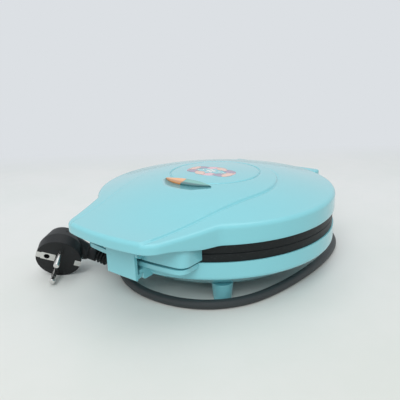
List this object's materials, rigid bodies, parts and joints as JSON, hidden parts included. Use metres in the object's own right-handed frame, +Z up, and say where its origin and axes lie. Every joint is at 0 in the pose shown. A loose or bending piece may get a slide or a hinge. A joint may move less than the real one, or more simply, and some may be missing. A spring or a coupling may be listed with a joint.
{
  "type": "cake pop maker",
  "caption": "round countertop cake pop maker with a domed hinged lid, flared front grip, hanging latch, ball cavities in its plates and a short mains lead",
  "frame": {"origin": "on the surface it stands on, under the middle of the object without its cord", "axes": "+Z up, -Y towards the grip and the user, +Y towards the hinge, hinge axis along X"},
  "size_m": [0.2299, 0.3772, 0.0844],
  "materials": {
    "shell_plastic": "moulded glossy pale turquoise plastic",
    "foot_rubber": "matt soft rubber",
    "nonstick": "cast aluminium with a black non-stick coat",
    "steel": "plain zinc plated steel",
    "heater_sheath": "drawn steel tube, dulled by heat",
    "reflector_sheet": "thin rolled sheet",
    "thermostat_can": "pressed can",
    "white_insulator": "heat-proof moulded plastic",
    "wire_cover": "silicone and glass-fibre sleeve",
    "black_plastic": "moulded plastic",
    "cord_rubber": "matt black cord sheath",
    "plug_plastic": "moulded black plug plastic",
    "plug_metal": "nickel plated brass",
    "orange_lens": "translucent orange plastic",
    "green_lens": "translucent green plastic",
    "lamp_glass": "small glass tube"
  },
  "bodies": {
    "base": {"base_housing": "shell_plastic", "foot_pads": "foot_rubber", "hinge_pins": "steel", "lower_plate": "nonstick", "lower_plate_screws": "steel", "lower_heating_element": "heater_sheath", "lower_reflector": "reflector_sheet", "lower_thermostat": "thermostat_can", "thermal_fuse": "thermostat_can", "terminal_block": "white_insulator", "base_wires": "wire_cover", "cord_clamp": "black_plastic", "clamp_screws": "steel", "strain_relief": "cord_rubber", "mains_cord": "cord_rubber", "plug_body": "plug_plastic", "plug_pins": "plug_metal", "plug_earth_clips": "plug_metal", "plug_strain_relief": "plug_plastic"},
    "lid": {"lid_housing": "shell_plastic", "lid_inner_frame": "shell_plastic", "latch_pin": "steel", "lid_screws": "steel", "upper_plate": "nonstick", "upper_plate_screws": "steel", "upper_heating_element": "heater_sheath", "upper_reflector": "reflector_sheet", "upper_thermostat": "thermostat_can", "power_lens": "orange_lens", "ready_lens": "green_lens", "lamp_holder": "white_insulator", "power_lamp": "lamp_glass", "ready_lamp": "lamp_glass", "lid_wires": "wire_cover"},
    "latch": {"latch": "shell_plastic"}
  },
  "joints": [
    {"name": "lid_hinge", "type": "hinge", "parent": "base", "child": "lid", "pos_m": [0, 0.11985, 0.0479], "axis": [-1, 0, 0], "range_deg": [0, 95]},
    {"name": "latch_swing", "type": "hinge", "parent": "lid", "child": "latch", "pos_m": [0, -0.10415, 0.049], "axis": [-1, 0, 0], "range_deg": [0, 65]}
  ]
}
